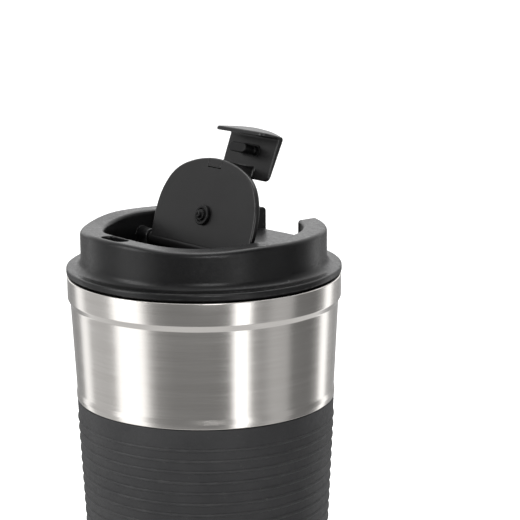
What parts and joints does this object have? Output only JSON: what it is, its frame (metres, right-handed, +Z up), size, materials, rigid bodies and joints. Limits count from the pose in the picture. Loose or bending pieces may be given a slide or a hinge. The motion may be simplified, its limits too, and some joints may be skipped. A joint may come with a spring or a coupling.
{
  "type": "insulated travel mug",
  "caption": "Tapered double-walled steel travel mug with a black grip and a lift-off lid whose hinged flap carries a latch tab and spout stopper.",
  "frame": {"origin": "centre of the foot pad's underside, on the table and on the mug's axis", "axes": "+Z up along the mug's axis, -Y towards the drinking side, +X along the flap's hinge"},
  "size_m": [0.09, 0.09, 0.1962],
  "materials": {
    "brushed_steel": "fine brushing round the body, satin",
    "inner_steel": "electropolished, satin",
    "copper_foil": "bright foil",
    "lid_plastic": "fine spark texture, matte",
    "flap_plastic": "smooth moulded, satin",
    "silicone": "matte silicone"
  },
  "bodies": {
    "mug": {"outer_shell": "brushed_steel", "inner_liner": "inner_steel", "foil_wrap": "copper_foil", "getter": "inner_steel", "outer_base": "inner_steel", "vacuum_seal": "inner_steel", "base_pad": "silicone", "grip_band": "silicone"},
    "lid": {"lid_body": "lid_plastic", "lid_skirt": "lid_plastic", "lid_seal": "silicone"},
    "flap": {"flap": "flap_plastic", "latch_tab": "flap_plastic", "spout_stopper": "silicone", "vent_stopper": "silicone"}
  },
  "joints": [
    {"name": "lid_lift", "type": "slide", "parent": "mug", "child": "lid", "axis": [0, 0, 1], "range_m": [0, 0.09]},
    {"name": "flap_hinge", "type": "hinge", "parent": "lid", "child": "flap", "pos_m": [0, -0.001, 0.1575], "axis": [-1, 0, 0], "range_deg": [-107.5, 43]}
  ]
}
